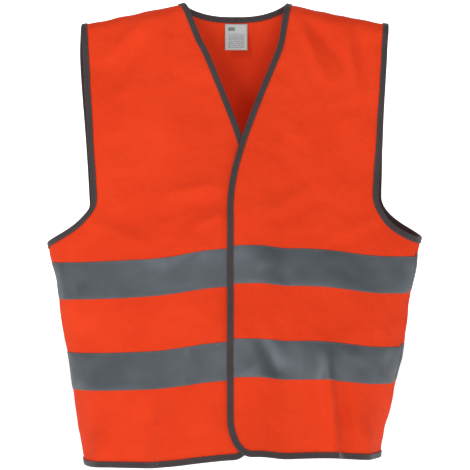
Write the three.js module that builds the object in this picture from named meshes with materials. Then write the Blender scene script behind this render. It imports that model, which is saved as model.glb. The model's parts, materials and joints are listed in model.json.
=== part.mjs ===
// A high visibility waistcoat as it hangs on its wearer: two front panels that overlap and close with
// hook and loop, one back panel, two reflective bands all round, and a bound edge everywhere.
// Millimetres, +Z up. The front faces -Y and +X is the wearer's left. The origin lies halfway between
// the middles of the two shoulder seams.
import * as THREE from 'three';

// ---------------------------------------------------------------- driving dimensions
const GAP = 0.3;                       // air between two pieces that touch
const CLOTH = 0.8;                     // thickness of the shell fabric
const TAPE_THICKNESS = 0.6;            // reflective tape
const BINDING_THICKNESS = 0.8;         // one leg of the folded edge binding
const SEAM_THICKNESS = 1.2;            // bundled seam allowance
const PATCH_THICKNESS = 1.2;           // hook or loop patch
const LABEL_THICKNESS = 0.6;

const CHEST_HALF_WIDTH = 254;          // at the armpits
const HEM_HALF_WIDTH = 201;
const BODY_LENGTH = 298;               // from the armpits to the hem
const ARMHOLE_DEPTH = 306;             // from the origin to the armpits
const LEAN = 12.4;                     // degrees that front and back lean away from the middle
const SHOULDER_ROUND = 22;             // radius of the cloth over the shoulder
const NECK_HALF_WIDTH = 71;
const SHOULDER_HALF_WIDTH = 209;
const SHOULDER_DROP = 28;              // from the neck point to the shoulder tip
const SIDE_SEAM_TURN = 10;             // degrees that the side seams sit round towards the wearer's right

const FRONT_ARM_HALF_WIDTH = 192;      // narrowest place of the front between the armholes
const BACK_ARM_HALF_WIDTH = 202;
const ARMHOLE_ROUND = 60;              // height of the curved bottom of the armhole

const BACK_NECK_DEPTH = 16;            // below the neck points
const BACK_NECK_FULLNESS = 2.6;        // 2 is a parabola; more is flatter in the middle
const NECK_LINE_RISE = 16;             // the slanting neck edge ends this far above the armpits
const NECK_LINE_PULL = { x: 0.76, top: 0.19, overshoot: 1.2, bottom: 0.62 };   // fullness of that edge
const OVERLAP_HALF = 18.5;             // each front passes the closing line by this much
const CLOSING_SHIFT = 9.5;             // the closing line lies this far to the wearer's left
const SHIFT_DEPTH = 75;                // depth at which the neck opening has shifted fully
const CORNER_WIDTH = 30;               // rounded lower front corner
const CORNER_HEIGHT = 52;

const TAPE_WIDTH = 50;
const ARMPIT_TO_TAPE = 25;
const TAPE_SPACING = 72;               // bare cloth between the two bands

const BINDING_WIDTH = 8;
const BINDING_FULLNESS = 0.1125;       // air between the cloth and a leg, for each mm of binding width
const SEAM_HALF_WIDTH = 6;

const PATCH_LENGTH = 50;
const PATCH_MARGIN = 2;                // from the bindings beside a patch
const PATCH_TO_TAPE = 12;

const LABEL_WIDTH = 31;
const LABEL_LENGTH = 36;
const LABEL_OFFSET = 1.7;              // from the middle, to the wearer's left

const FOLD_TOP_DEPTH = 45;             // where the fold of an opened front starts
const FOLD_INSET = 12;                 // from the neck edge, at the top of the fold
const FOLD_HEM_HALF_WIDTH = 95;        // where the fold meets the hem

// ---------------------------------------------------------------- steps of the meshes
const COLUMNS = {
  side: Math.round(CHEST_HALF_WIDTH / 23),
  flap: 6,
  neck: 7,
  shoulder: Math.round(CHEST_HALF_WIDTH / 32),
};
const NECK_CROWDING = 2.2;             // columns crowd towards the neck points
const YOKE_ROWS = 3;
const SHOULDER_ROWS = 9;
const ARMHOLE_ROWS = 12;
const NECK_ROWS = 8;
const CORNER_ROWS = 6;
const NECK_LINE_STEPS = 80;
const SIDE_CROWDING = 0.3;             // columns crowd towards the side seams by this share

// ---------------------------------------------------------------- levels that follow from them
const DEG = Math.PI / 180;
const shoulderSlope = SHOULDER_DROP / (SHOULDER_HALF_WIDTH - NECK_HALF_WIDTH);
const armpit = -ARMHOLE_DEPTH;
const hem = armpit - BODY_LENGTH;
const armholeTurn = armpit + ARMHOLE_ROUND;
const cornerTop = hem + CORNER_HEIGHT;
const foldTop = -FOLD_TOP_DEPTH;
const roundAngle = Math.PI / 2 - LEAN * DEG;
const roundLength = SHOULDER_ROUND * roundAngle;
const upperTape = { top: armpit - ARMPIT_TO_TAPE, bottom: armpit - ARMPIT_TO_TAPE - TAPE_WIDTH };
const lowerTape = { top: upperTape.bottom - TAPE_SPACING, bottom: upperTape.bottom - TAPE_SPACING - TAPE_WIDTH };
const yokeLevel = -SHOULDER_DROP / 2 - SHOULDER_ROUND;
const bindingSlack = BINDING_FULLNESS * BINDING_WIDTH;
// From the under front's face to the over front's back: two patches, or two bindings that cross.
const closedStack = Math.max(2 * PATCH_THICKNESS + 3 * GAP, 2 * (bindingSlack + BINDING_THICKNESS) + GAP);
const overLift = closedStack + CLOTH;
const neckLineEnd = armpit + NECK_LINE_RISE;
const patchHalfWidth = OVERLAP_HALF - BINDING_WIDTH - PATCH_MARGIN;
const liftFull = CLOSING_SHIFT + OVERLAP_HALF + 2 * GAP;
const liftEnd = NECK_HALF_WIDTH;

const BACK = Math.PI;                  // angles run round the body: 0 front, 90 degrees wearer's left

// ---------------------------------------------------------------- the cloth's surface
function shoulderHeight(x) {
  const reach = Math.abs(x);
  const neckHeight = SHOULDER_DROP / 2;
  if (reach > NECK_HALF_WIDTH) return neckHeight - shoulderSlope * (reach - NECK_HALF_WIDTH);
  const share = reach / NECK_HALF_WIDTH;
  return neckHeight + 0.5 * shoulderSlope * NECK_HALF_WIDTH * (1 - share * share);
}

function halfWidthAt(z) {
  return HEM_HALF_WIDTH + (CHEST_HALF_WIDTH - HEM_HALF_WIDTH) * (z - hem) / BODY_LENGTH;
}

// Half depth and drop of the cloth at a length measured down it from the shoulder line.
// A length below zero is on the other side of the shoulder line.
function profile(length) {
  const angle = Math.min(length, roundLength) / SHOULDER_ROUND;
  const straight = Math.max(length - roundLength, 0);
  return {
    out: SHOULDER_ROUND * Math.sin(angle) + straight * Math.sin(LEAN * DEG),
    down: SHOULDER_ROUND * (1 - Math.cos(angle)) + straight * Math.cos(LEAN * DEG),
  };
}

function lengthForDrop(drop) {
  const roundDrop = SHOULDER_ROUND * (1 - Math.cos(roundAngle));
  if (drop > roundDrop) return roundLength + (drop - roundDrop) / Math.cos(LEAN * DEG);
  return SHOULDER_ROUND * Math.acos(1 - Math.max(drop, 0) / SHOULDER_ROUND);
}

function surfacePoint(angle, length) {
  const { out, down } = profile(length);
  let z = -down;
  let x = 0;
  for (let pass = 0; pass < 4; pass += 1) {
    x = halfWidthAt(z) * Math.sin(angle);
    z = shoulderHeight(x) - down;
  }
  return new THREE.Vector3(x, -out * Math.cos(angle), z);
}

function surfaceNormal(angle, length) {
  const turn = 1e-4;
  const step = 1e-2;
  const across = surfacePoint(angle + turn, length).sub(surfacePoint(angle - turn, length));
  const along = surfacePoint(angle, length + step).sub(surfacePoint(angle, length - step));
  return along.cross(across).normalize();
}

// A place on the cloth: its angle round the body and its length below the shoulder line.
function placeAngle(angle, z) {
  const x = halfWidthAt(z) * Math.sin(angle);
  return { angle, length: lengthForDrop(shoulderHeight(x) - z) };
}

function placeX(x, z, face) {
  const turn = Math.asin(x / halfWidthAt(z));
  return placeAngle(face === 'back' ? BACK - turn : turn, z);
}

function liftOf(angle, length, lifted) {
  if (!lifted) return 0;
  const x = surfacePoint(angle, length).x;
  return overLift * (1 - THREE.MathUtils.smoothstep(x, liftFull, liftEnd));
}

function at(place, height, lifted = false) {
  const rise = height + liftOf(place.angle, place.length, lifted);
  const normal = surfaceNormal(place.angle, place.length);
  return surfacePoint(place.angle, place.length).addScaledVector(normal, rise);
}

// ---------------------------------------------------------------- edges of the cloth
const neckLine = new THREE.CubicBezierCurve(
  new THREE.Vector2(NECK_HALF_WIDTH, SHOULDER_DROP / 2),
  new THREE.Vector2(NECK_HALF_WIDTH * NECK_LINE_PULL.x, neckLineEnd * NECK_LINE_PULL.top),
  new THREE.Vector2(-OVERLAP_HALF * NECK_LINE_PULL.overshoot, neckLineEnd * NECK_LINE_PULL.bottom),
  new THREE.Vector2(-OVERLAP_HALF, neckLineEnd),
).getPoints(NECK_LINE_STEPS);

function neckLineX(z) {
  if (z >= neckLine[0].y) return neckLine[0].x;
  for (let i = 1; i < neckLine.length; i += 1) {
    const upper = neckLine[i - 1];
    const lower = neckLine[i];
    if (z >= lower.y) return THREE.MathUtils.mapLinear(z, upper.y, lower.y, upper.x, lower.x);
  }
  return -OVERLAP_HALF;
}

function cornerInset(z) {
  const share = Math.min(Math.max((cornerTop - z) / CORNER_HEIGHT, 0), 1);
  return CORNER_WIDTH * (1 - Math.sqrt(1 - share * share));
}

function closingLineX(z) {
  return CLOSING_SHIFT * THREE.MathUtils.smoothstep(SHOULDER_DROP / 2 - z, 0, SHIFT_DEPTH);
}

// Side is 1 for the wearer's left front, which lies on top, and -1 for the right front under it.
function frontEdgeX(z, side) {
  return closingLineX(z) + side * (neckLineX(z) + cornerInset(z));
}

function foldX(z, side) {
  const top = frontEdgeX(foldTop, side) + side * FOLD_INSET;
  return THREE.MathUtils.mapLinear(z, foldTop, hem, top, side * FOLD_HEM_HALF_WIDTH);
}

// Angle from the middle of the face to its armhole edge or side seam.
function outerTurn(z, side, face) {
  const narrow = face === 'back' ? BACK_ARM_HALF_WIDTH : FRONT_ARM_HALF_WIDTH;
  const towardsFront = side * (face === 'back' ? 1 : -1) * SIDE_SEAM_TURN * DEG;
  const seam = Math.PI / 2 + towardsFront;
  const tip = shoulderHeight(SHOULDER_HALF_WIDTH);
  if (z >= armholeTurn) {
    const reach = THREE.MathUtils.mapLinear(z, tip, armholeTurn, SHOULDER_HALF_WIDTH, narrow);
    return Math.asin(Math.min(reach, SHOULDER_HALF_WIDTH) / halfWidthAt(z));
  }
  const start = Math.asin(narrow / halfWidthAt(armholeTurn));
  const share = Math.min((armholeTurn - z) / ARMHOLE_ROUND, 1);
  return start + (seam - start) * (1 - Math.sqrt(1 - share * share));
}

function faceAngle(turn, side, face) {
  return face === 'back' ? BACK - side * turn : side * turn;
}

function backNeckZ(x) {
  const share = Math.min(Math.abs(x) / NECK_HALF_WIDTH, 1);
  return SHOULDER_DROP / 2 - BACK_NECK_DEPTH * (1 - share ** BACK_NECK_FULLNESS);
}

// ---------------------------------------------------------------- rows and columns of places
function spread(count, from, to) {
  return Array.from({ length: count + 1 }, (_, i) => THREE.MathUtils.lerp(from, to, i / count));
}

// Shares from 0 to 1 that crowd towards 1, where the cloth turns most.
function crowded(count) {
  return spread(count, 0, 1).map((share) => share * (1 + SIDE_CROWDING - SIDE_CROWDING * share * share));
}

const tapeLevels = [upperTape.top, upperTape.bottom, lowerTape.top, lowerTape.bottom];
const armholeLevels = spread(ARMHOLE_ROWS, 0, 1).map((share) => (
  armholeTurn - ARMHOLE_ROUND * Math.sqrt(1 - (1 - share) ** 2)));
const yokeLevels = spread(YOKE_ROWS, yokeLevel, armholeTurn).slice(0, -1);
const foldLevels = [foldTop, foldTop - GAP];
const panelLevels = [yokeLevel, ...foldLevels, ...yokeLevels.slice(1), ...armholeLevels, ...tapeLevels, hem];
const neckLevels = spread(NECK_ROWS, foldTop - 2 * GAP, neckLineEnd);
const cornerLevels = spread(CORNER_ROWS, 0, 1).map((share) => (
  cornerTop - CORNER_HEIGHT * Math.sin(share * Math.PI / 2)));
const flapLevels = [...neckLevels, ...tapeLevels, ...cornerLevels];

// A distance round the body from a place, as a turn.
function turnFor(distance, { angle, length }) {
  return DEG * distance / surfacePoint(angle, length).distanceTo(surfacePoint(angle + DEG, length));
}

// Two panels that meet at a side seam each stop half a gap short of it.
function outerAngle(z, side, face) {
  const turn = outerTurn(z, side, face);
  if (z > armpit) return turn;
  return turn - turnFor(GAP / 2, placeAngle(faceAngle(turn, side, face), z));
}

function sideRow(z, side) {
  const start = z >= foldTop ? frontEdgeX(z, side) : foldX(z, side) + side * GAP / 2;
  const startAngle = Math.asin(side * start / halfWidthAt(z));
  return crowded(COLUMNS.side).map((share) => (
    placeAngle(side * THREE.MathUtils.lerp(startAngle, outerAngle(z, side, 'front'), share), z)));
}

function flapRow(z, side) {
  const edge = frontEdgeX(z, side);
  const bound = edge + side * (BINDING_WIDTH + GAP);
  const fold = foldX(z, side) - side * GAP / 2;
  return [edge, ...spread(COLUMNS.flap, bound, fold)].map((x) => placeX(x, z, 'front'));
}

const neckShare = NECK_HALF_WIDTH / SHOULDER_HALF_WIDTH;
const backHalfShares = [
  ...spread(COLUMNS.neck, 0, 1).slice(0, -1).map((share) => neckShare * (1 - (1 - share) ** NECK_CROWDING)),
  ...crowded(COLUMNS.shoulder).map((share) => THREE.MathUtils.lerp(neckShare, 1, share)),
];
const backShares = [...backHalfShares.slice(1).reverse().map((share) => -share), ...backHalfShares];

function backRow(z) {
  return backShares.map((share) => {
    const side = share < 0 ? -1 : 1;
    return placeAngle(faceAngle(Math.abs(share) * outerAngle(z, side, 'back'), side, 'back'), z);
  });
}

// Rows over the rounded shoulder, from the top edge's places to the yoke's.
function shoulderRows(top, yoke) {
  return spread(SHOULDER_ROWS, 0, 1).slice(0, -1).map((share) => top.map((place, i) => ({
    angle: THREE.MathUtils.lerp(place.angle, yoke[i].angle, share),
    length: THREE.MathUtils.lerp(place.length, yoke[i].length, share),
  })));
}

function shoulderPlace(x, face) {
  const turn = Math.asin(x / halfWidthAt(shoulderHeight(x)));
  return { angle: face === 'back' ? BACK - turn : turn, length: GAP / 2 };
}

function frontTop(side) {
  return crowded(COLUMNS.side).map((share) => (
    shoulderPlace(side * THREE.MathUtils.lerp(NECK_HALF_WIDTH, SHOULDER_HALF_WIDTH, share), 'front')));
}

function backTop() {
  return backShares.map((share) => {
    const x = share * SHOULDER_HALF_WIDTH;
    return Math.abs(x) < NECK_HALF_WIDTH - GAP ? placeX(x, backNeckZ(x), 'back') : shoulderPlace(x, 'back');
  });
}

function panelRows(top, rowAt) {
  const rows = panelLevels.map(rowAt);
  return [...shoulderRows(top, rows[0]), ...rows];
}

const fronts = {};
const flaps = {};
for (const side of [1, -1]) {
  fronts[side] = panelRows(frontTop(side), (z) => sideRow(z, side));
  flaps[side] = flapLevels.map((z) => flapRow(z, side));
}
const backRows = panelRows(backTop(), backRow);

// ---------------------------------------------------------------- closed solids
function solid(points, triangles) {
  let volume = 0;
  for (const [a, b, c] of triangles) {
    volume += points[a].dot(new THREE.Vector3().crossVectors(points[b], points[c]));
  }
  const index = triangles.flatMap(([a, b, c]) => (volume > 0 ? [a, b, c] : [a, c, b]));
  const geometry = new THREE.BufferGeometry().setFromPoints(points);
  geometry.setIndex(index);
  geometry.computeVertexNormals();
  return geometry;
}

// A sheet between two heights over a grid of places.
function slab(rows, low, high, lifted = false) {
  const height = rows.length;
  const width = rows[0].length;
  const layer = height * width;
  const points = [low, high].flatMap((level) => rows.flat().map((place) => at(place, level, lifted)));
  const triangles = [];
  const quad = (a, b, c, d) => triangles.push([a, b, c], [a, c, d]);
  for (let i = 0; i < height - 1; i += 1) {
    for (let j = 0; j < width - 1; j += 1) {
      const [a, b, c, d] = [i * width + j, (i + 1) * width + j, (i + 1) * width + j + 1, i * width + j + 1];
      triangles.push([a, b, c], [a, c, d]);
      triangles.push([layer + a, layer + c, layer + b], [layer + a, layer + d, layer + c]);
    }
    const left = i * width;
    const right = i * width + width - 1;
    quad(left, left + layer, left + width + layer, left + width);
    quad(right, right + width, right + width + layer, right + layer);
  }
  const last = layer - width;
  for (let j = 0; j < width - 1; j += 1) {
    quad(j, j + 1, j + 1 + layer, j + layer);
    quad(last + j, last + j + layer, last + j + 1 + layer, last + j + 1);
  }
  return solid(points, triangles);
}

// The place a given distance from another, measured on the cloth.
function movedPlace(place, shift) {
  const target = surfacePoint(place.angle, place.length).add(shift);
  const moved = { ...place };
  const step = 1e-3;
  for (let pass = 0; pass < 3; pass += 1) {
    const here = surfacePoint(moved.angle, moved.length);
    const across = surfacePoint(moved.angle + step, moved.length).sub(here).divideScalar(step);
    const along = surfacePoint(moved.angle, moved.length + step).sub(here).divideScalar(step);
    const rest = target.clone().sub(here);
    const [aa, al, ll] = [across.dot(across), across.dot(along), along.dot(along)];
    const [ra, rl] = [rest.dot(across), rest.dot(along)];
    const determinant = aa * ll - al * al;
    moved.angle += (ra * ll - rl * al) / determinant;
    moved.length += (rl * aa - ra * al) / determinant;
  }
  return moved;
}

// A folded tape that holds an edge between its two legs. Turn is 1 where the cloth lies to the left of
// the path, seen from outside, and -1 where it lies to the right. Level ends are cut along the row.
function binding(path, turn, { closed = false, lifted = false, levelEnds = [] } = {}) {
  const count = path.length;
  const spots = path.map((place) => surfacePoint(place.angle, place.length));
  const outer = bindingSlack + BINDING_THICKNESS;
  const sections = path.map((place, i) => {
    const before = spots[closed ? (i + count - 1) % count : Math.max(i - 1, 0)];
    const after = spots[closed ? (i + 1) % count : Math.min(i + 1, count - 1)];
    const normal = surfaceNormal(place.angle, place.length);
    const along = after.clone().sub(before).normalize();
    const out = along.clone().cross(normal).multiplyScalar(turn);
    const inward = out.clone().multiplyScalar(-BINDING_WIDTH);
    if (levelEnds.includes(i)) inward.addScaledVector(along, -inward.z / along.z);
    const inner = movedPlace(place, inward);
    const leg = (level) => at(inner, level, lifted);
    const rim = (level, reach) => at(place, level, lifted).addScaledVector(out, reach);
    return [
      leg(outer), rim(outer, outer), rim(-CLOTH - outer, outer), leg(-CLOTH - outer),
      leg(-CLOTH - bindingSlack), rim(-CLOTH - bindingSlack, bindingSlack),
      rim(bindingSlack, bindingSlack), leg(bindingSlack),
    ];
  });
  const size = sections[0].length;
  const triangles = [];
  for (let i = 0; i < (closed ? count : count - 1); i += 1) {
    const next = (i + 1) % count;
    for (let k = 0; k < size; k += 1) {
      const [a, b] = [i * size + k, i * size + (k + 1) % size];
      const [c, d] = [next * size + (k + 1) % size, next * size + k];
      triangles.push([a, b, c], [a, c, d]);
    }
  }
  if (!closed) {
    const last = (count - 1) * size;
    for (const [a, b, c, d] of [[0, 1, 6, 7], [1, 2, 5, 6], [2, 3, 4, 5]]) {
      triangles.push([a, c, b], [a, d, c]);
      triangles.push([last + a, last + b, last + c], [last + a, last + c, last + d]);
    }
  }
  return solid(sections.flat(), triangles);
}

// ---------------------------------------------------------------- materials
function finish(color, roughness, metalness = 0) {
  return { color, roughness, metalness };
}

const FINISHES = {
  fabric: finish(0xf0461e, 0.75),
  tape: finish(0x74797c, 0.45, 0.3),
  binding: finish(0x4a4244, 0.8),
  seam: finish(0xc8401c, 0.85),
  hook: finish(0x3a3638, 0.7),
  loop: finish(0x46403f, 0.95),
  label: finish(0xd6dedc, 0.6),
};

const vest = new THREE.Group();
vest.name = 'high_visibility_vest';

function add(name, geometry, look) {
  const mesh = new THREE.Mesh(geometry, new THREE.MeshStandardMaterial(FINISHES[look]));
  mesh.name = name;
  vest.add(mesh);
  return mesh;
}

// ---------------------------------------------------------------- panels and reflective bands
const SIDES = { left: 1, right: -1 };
const BANDS = { upper: upperTape, lower: lowerTape };
const tapeHeights = [GAP, GAP + TAPE_THICKNESS];

add('back_panel', slab(backRows, -CLOTH, 0), 'fabric');
for (const [name, band] of Object.entries(BANDS)) {
  const rows = [band.top, band.bottom].map(backRow);
  add(`back_${name}_tape`, slab(rows, ...tapeHeights), 'tape');
}
for (const [hand, side] of Object.entries(SIDES)) {
  const lifted = side > 0;
  add(`${hand}_front_panel`, slab(fronts[side], -CLOTH, 0), 'fabric');
  add(`${hand}_front_flap`, slab(flaps[side], -CLOTH, 0, lifted), 'fabric');
  for (const [name, band] of Object.entries(BANDS)) {
    const levels = [band.top, band.bottom];
    const panelPart = levels.map((z) => sideRow(z, side));
    const flapPart = levels.map((z) => flapRow(z, side).slice(1));
    add(`${hand}_${name}_tape`, slab(panelPart, ...tapeHeights), 'tape');
    add(`${hand}_${name}_tape_flap`, slab(flapPart, ...tapeHeights, lifted), 'tape');
  }
}

// ---------------------------------------------------------------- edge bindings
function shoulderLinePlace(x) {
  return { ...shoulderPlace(x, 'front'), length: 0 };
}

function seamPlace(z, side) {
  return placeAngle(faceAngle(outerTurn(z, side, 'front'), side, 'front'), z);
}

// From the top of a fold up to the shoulder line.
function neckRise(side) {
  const rows = fronts[side].slice(1);
  const rise = rows.filter((row) => surfacePoint(row[0].angle, row[0].length).z > foldTop + GAP);
  return [...rise.map((row) => row[0]), placeX(frontEdgeX(foldTop, side), foldTop, 'front')].reverse();
}

const neckColumns = backRows[0].slice(COLUMNS.shoulder + 1, -COLUMNS.shoulder - 1);
const neckPath = [
  ...neckRise(-1), shoulderLinePlace(-NECK_HALF_WIDTH),
  ...neckColumns,
  shoulderLinePlace(NECK_HALF_WIDTH), ...neckRise(1).reverse(),
];
add('neck_binding', binding(neckPath, 1, { levelEnds: [0, neckPath.length - 1] }), 'binding');

const armholeEnd = SHOULDER_ROWS + panelLevels.indexOf(armpit);
for (const [hand, side] of Object.entries(SIDES)) {
  const down = fronts[side].slice(1, armholeEnd).map((row) => row.at(-1));
  const up = backRows.slice(1, armholeEnd).map((row) => row.at(side > 0 ? -1 : 0)).reverse();
  const path = [shoulderLinePlace(side * SHOULDER_HALF_WIDTH), ...down, seamPlace(armpit, side), ...up];
  add(`${hand}_armhole_binding`, binding(path, -side, { closed: true }), 'binding');
}

const hemPath = [
  ...fronts[-1].at(-1).slice(0, -1), seamPlace(hem, -1),
  ...backRows.at(-1).slice(1, -1).map((place) => ({ ...place, angle: place.angle - 2 * Math.PI })),
  seamPlace(hem, 1), ...fronts[1].at(-1).slice(0, -1).reverse(),
];
add('hem_binding', binding(hemPath, -1), 'binding');

for (const [hand, side] of Object.entries(SIDES)) {
  const edge = flaps[side].map((row) => row[0]);
  const alongHem = flaps[side].at(-1).slice(1);
  const options = { lifted: side > 0, levelEnds: [0] };
  add(`${hand}_edge_binding`, binding([...edge, ...alongHem], side, options), 'binding');
}

// ---------------------------------------------------------------- seams inside
const seamTop = -CLOTH - GAP;
const seamHeights = [seamTop - SEAM_THICKNESS, seamTop];
const bindingReach = BINDING_WIDTH + GAP;

for (const [hand, side] of Object.entries(SIDES)) {
  const across = spread(2, -SEAM_HALF_WIDTH, SEAM_HALF_WIDTH);
  const levels = [armpit - bindingReach - bindingSlack, ...tapeLevels, hem + bindingReach];
  const sideSeam = levels.map((z) => across.map((offset) => {
    const middle = seamPlace(z, side);
    return placeAngle(middle.angle + turnFor(offset, middle), z);
  }));
  add(`${hand}_side_seam`, slab(sideSeam, ...seamHeights), 'seam');

  const reach = spread(COLUMNS.side, NECK_HALF_WIDTH + bindingReach, SHOULDER_HALF_WIDTH - bindingReach);
  const shoulderSeam = reach.map((x) => spread(4, -SEAM_HALF_WIDTH, SEAM_HALF_WIDTH).map((length) => (
    { angle: shoulderPlace(side * x, 'front').angle, length })));
  add(`${hand}_shoulder_seam`, slab(shoulderSeam, ...seamHeights), 'seam');
}

// ---------------------------------------------------------------- closing patches
const patchLevels = {
  upper: [upperTape.top + PATCH_TO_TAPE + PATCH_LENGTH, upperTape.top + PATCH_TO_TAPE],
  lower: [PATCH_LENGTH, -PATCH_LENGTH].map((length) => (upperTape.bottom + lowerTape.top + length) / 2),
};
const patchEdges = [CLOSING_SHIFT - patchHalfWidth, CLOSING_SHIFT, CLOSING_SHIFT + patchHalfWidth];
for (const [name, levels] of Object.entries(patchLevels)) {
  const rows = levels.map((z) => patchEdges.map((x) => placeX(x, z, 'front')));
  const inside = -CLOTH - GAP;
  add(`${name}_loop_patch`, slab(rows, GAP, GAP + PATCH_THICKNESS), 'loop');
  add(`${name}_hook_patch`, slab(rows, inside - PATCH_THICKNESS, inside, true), 'hook');
}

// ---------------------------------------------------------------- size label inside the back neck
const neckMiddle = placeX(LABEL_OFFSET, backNeckZ(LABEL_OFFSET), 'back');
const labelTop = at({ ...neckMiddle, length: neckMiddle.length + bindingReach }, -CLOTH - GAP);
const label = add('size_label', new THREE.BoxGeometry(LABEL_WIDTH, LABEL_THICKNESS, LABEL_LENGTH), 'label');
label.position.set(LABEL_OFFSET, labelTop.y - LABEL_THICKNESS / 2 - GAP, labelTop.z - LABEL_LENGTH / 2 - GAP);

export default vest;
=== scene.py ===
"""A high visibility vest hanging as on its wearer, dressed over its engineering model."""

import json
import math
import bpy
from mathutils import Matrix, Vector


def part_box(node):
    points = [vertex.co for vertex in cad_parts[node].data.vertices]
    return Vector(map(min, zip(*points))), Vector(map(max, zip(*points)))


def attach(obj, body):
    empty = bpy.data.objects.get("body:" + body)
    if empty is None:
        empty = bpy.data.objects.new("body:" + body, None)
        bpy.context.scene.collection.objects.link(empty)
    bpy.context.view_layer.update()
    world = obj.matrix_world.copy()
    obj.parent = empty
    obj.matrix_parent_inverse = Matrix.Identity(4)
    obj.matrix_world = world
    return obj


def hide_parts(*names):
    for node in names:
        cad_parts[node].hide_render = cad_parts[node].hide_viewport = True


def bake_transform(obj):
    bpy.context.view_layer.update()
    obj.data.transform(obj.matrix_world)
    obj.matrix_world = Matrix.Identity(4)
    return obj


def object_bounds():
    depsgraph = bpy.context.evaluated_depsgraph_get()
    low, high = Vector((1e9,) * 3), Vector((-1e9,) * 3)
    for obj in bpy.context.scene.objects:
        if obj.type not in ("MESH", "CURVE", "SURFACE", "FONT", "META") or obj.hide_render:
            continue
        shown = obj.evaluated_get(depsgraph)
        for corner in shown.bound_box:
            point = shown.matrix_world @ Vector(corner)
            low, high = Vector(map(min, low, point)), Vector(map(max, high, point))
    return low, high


bl_info = {
    "name": "High Visibility Vest",
    "version": (1, 0, 0),
    "blender": (4, 5, 0),
    "location": "3D View > Sidebar > Vest",
    "description": "Sews a high visibility vest in cloth, tape, binding and thread",
    "category": "Add Mesh",
}

import bpy
import numpy as np
from bpy.props import FloatProperty, FloatVectorProperty, IntProperty, PointerProperty
from mathutils import Vector

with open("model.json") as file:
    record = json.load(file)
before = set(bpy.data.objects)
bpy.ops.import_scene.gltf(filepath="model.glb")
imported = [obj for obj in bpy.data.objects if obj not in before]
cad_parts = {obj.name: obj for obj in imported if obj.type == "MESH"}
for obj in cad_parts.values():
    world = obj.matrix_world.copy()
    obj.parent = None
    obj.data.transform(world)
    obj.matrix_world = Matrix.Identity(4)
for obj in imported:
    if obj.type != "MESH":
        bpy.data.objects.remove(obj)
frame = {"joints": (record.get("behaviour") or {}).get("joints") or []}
CAD_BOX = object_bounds()

BACK = math.pi  # angles run round the body: 0 is the front, 90 degrees the wearer's left
LEFT, RIGHT = 1, -1
HANDS = {"left": LEFT, "right": RIGHT}
MM = 0.001
SHELL_THICKNESS = 0.6 * MM
SEAM_TUCK = 1.4 * MM  # how far a panel's edge turns in where it is sewn to the next one
TUCK_WIDTH = 4 * MM
RIGHT_BACK_SWELL = 5 * MM  # the back's right armhole edge stands out this far below the shoulder
LEFT_FRONT_RISE = 3 * MM  # the left front is closed this much higher than the right one
FOLD_LEAN = math.radians(65)  # angle to the front of the direction across a front's fold
WEAVE = "weave"  # the map that runs in metres along and down each piece of cloth
HEM_SPLIT = 6 * MM  # the front bindings meet the hem binding this far outside the fold's axis


# ------------------------------------------------------------------ settings
def length(name, description, default):
    return FloatProperty(name=name, description=description, default=default, unit="LENGTH", precision=4)


def tint(name, description, default):
    return FloatVectorProperty(name=name, description=description, default=default, size=3, subtype="COLOR",
                               min=0.0, max=1.0)


class VestCut(bpy.types.PropertyGroup):
    """Sizes of the vest: its engineering model's where it has them, but for a narrower binding"""

    chest_half: length("Chest half width", "Half of the width at the armpits", 0.254)
    hem_half: length("Hem half width", "Half of the width at the hem", 0.201)
    body_length: length("Body length", "From the armpits to the hem", 0.298)
    armhole_depth: length("Armhole depth", "From the shoulders to the armpits", 0.306)
    lean: FloatProperty(name="Lean", description="Angle of front and back", default=math.radians(12.4),
                        subtype="ANGLE")
    shoulder_round: length("Shoulder round", "Radius of the cloth over the shoulder", 0.022)
    neck_half: length("Neck half width", "From the middle to a neck point", 0.071)
    shoulder_half: length("Shoulder half width", "From the middle to a shoulder tip", 0.209)
    shoulder_drop: length("Shoulder drop", "From the neck point down to the shoulder tip", 0.028)
    seam_turn: FloatProperty(name="Seam turn", description="Turn of the side seams round the body",
                             default=math.radians(10), subtype="ANGLE")
    front_arm_half: length("Front width", "Half of the front between the armholes", 0.192)
    back_arm_half: length("Back width", "Half of the back between the armholes", 0.202)
    armhole_round: length("Armhole round", "Height of the armhole's curved bottom", 0.060)
    back_neck_depth: length("Back neck depth", "Below the neck points", 0.016)
    neck_line_rise: length("Neck line rise", "The slanting front edge ends this far above the armpits", 0.016)
    overlap_half: length("Overlap half", "Each front passes the closing line by this much", 0.0185)
    closing_shift: length("Closing shift", "The closing line's place, to the wearer's left", 0.0095)
    shift_depth: length("Shift depth", "Depth at which the neck opening has shifted fully", 0.075)
    corner_width: length("Corner width", "Width of the rounded lower front corner", 0.030)
    corner_height: length("Corner height", "Height of the rounded lower front corner", 0.052)
    over_lift: length("Over lift", "The left front's height above the right one", 0.0045)
    tape_width: length("Tape width", "Width of the reflective tape", 0.050)
    armpit_to_tape: length("Armpit to tape", "From the armpits to the upper band", 0.025)
    tape_spacing: length("Tape spacing", "Bare cloth between the two bands", 0.072)
    binding_width: length("Binding width", "Width of the folded edge binding", 0.0071)
    cloth_step: length("Cloth step", "Spacing of the cloth's mesh", 0.0042)
    stitch_length: length("Stitch length", "From one stitch to the next", 0.0032)
    seed: IntProperty(name="Seed", description="Seed of the cloth's small folds", default=7)


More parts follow.
